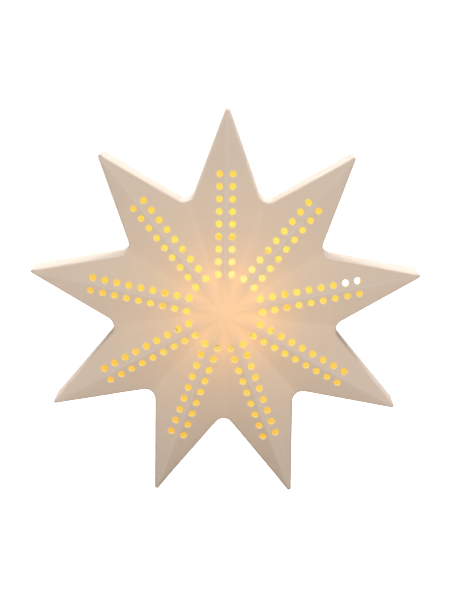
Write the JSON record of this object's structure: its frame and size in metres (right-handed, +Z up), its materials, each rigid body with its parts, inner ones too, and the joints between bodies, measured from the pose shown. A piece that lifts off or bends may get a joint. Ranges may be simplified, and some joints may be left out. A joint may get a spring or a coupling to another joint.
{
  "type": "tealight holder",
  "caption": "Hollow white ceramic star with a faceted pierced front, a round opening behind it, and a pull-out sheet-metal carrier whose dish holds a tealight.",
  "frame": {"origin": "middle of the object's box, at its lowest point, where the two lower tips stand", "axes": "+Z up, +X to the right seen from the front, front towards -Y"},
  "size_m": [0.2944, 0.0728, 0.29],
  "materials": {
    "ceramic": "matt white, warm from the light inside",
    "cover_enamel": "white enamel on sheet steel",
    "spring_steel": "tempered steel",
    "rivet_metal": "plain",
    "zinc_plate": "zinc plated",
    "tinplate": "bright tinplate",
    "cup_foil": "drawn aluminium foil",
    "wax": "paraffin wax, satin",
    "wick": "burnt braided cotton"
  },
  "bodies": {
    "star": {"front_shell": "ceramic", "back_wall": "ceramic"},
    "carrier": {"cover_plate": "cover_enamel", "grip_spring_1": "spring_steel", "grip_spring_2": "spring_steel", "grip_spring_3": "spring_steel", "spring_rivet_1": "rivet_metal", "spring_rivet_2": "rivet_metal", "spring_rivet_3": "rivet_metal", "tealight_shelf": "zinc_plate", "shelf_rivet_1": "rivet_metal", "shelf_rivet_2": "rivet_metal", "tealight_dish": "tinplate", "dish_screw": "zinc_plate", "dish_nut": "zinc_plate"},
    "tealight": {"tealight_cup": "cup_foil", "tealight_wax": "wax", "wick_sustainer": "tinplate", "wick": "wick"}
  },
  "joints": [
    {"name": "carrier_slide", "type": "slide", "parent": "star", "child": "carrier", "axis": [0, 1, 0], "range_m": [0, 0.12]},
    {"name": "tealight_lift", "type": "slide", "parent": "carrier", "child": "tealight", "axis": [0, 0, 1], "range_m": [0, 0.03]}
  ]
}
